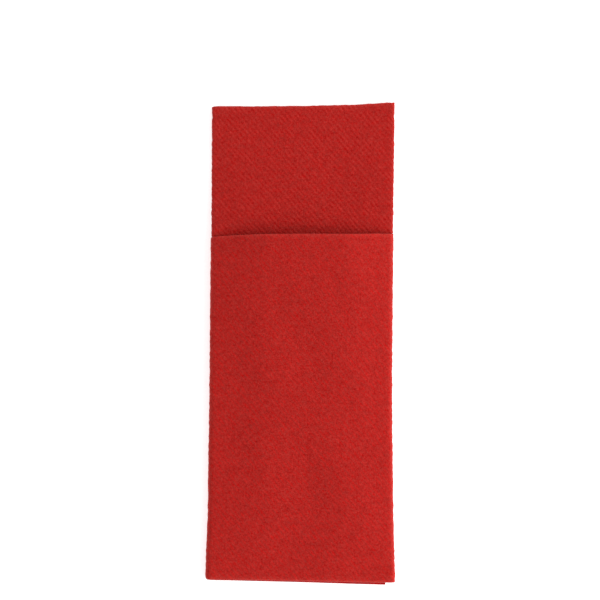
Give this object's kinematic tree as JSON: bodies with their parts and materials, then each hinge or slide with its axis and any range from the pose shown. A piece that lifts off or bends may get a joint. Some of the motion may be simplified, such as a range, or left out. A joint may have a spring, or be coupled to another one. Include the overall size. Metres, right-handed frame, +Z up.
{
  "type": "paper pocket napkin",
  "caption": "Red airlaid paper napkin folded into a long flat pocket, with the back sheet standing out above the mouth.",
  "frame": {"origin": "on the table, under the middle of the folded napkin's box", "axes": "+Y along the napkin towards its open top edge, +X towards the side with the single turn and both cut sides, +Z up from the table, out of the front"},
  "size_m": [0.0826, 0.2104, 0.0147],
  "materials": {
    "red_paper": "matte, finely embossed airlaid paper"
  },
  "bodies": {
    "root": {"napkin": "red_paper"}
  },
  "joints": []
}
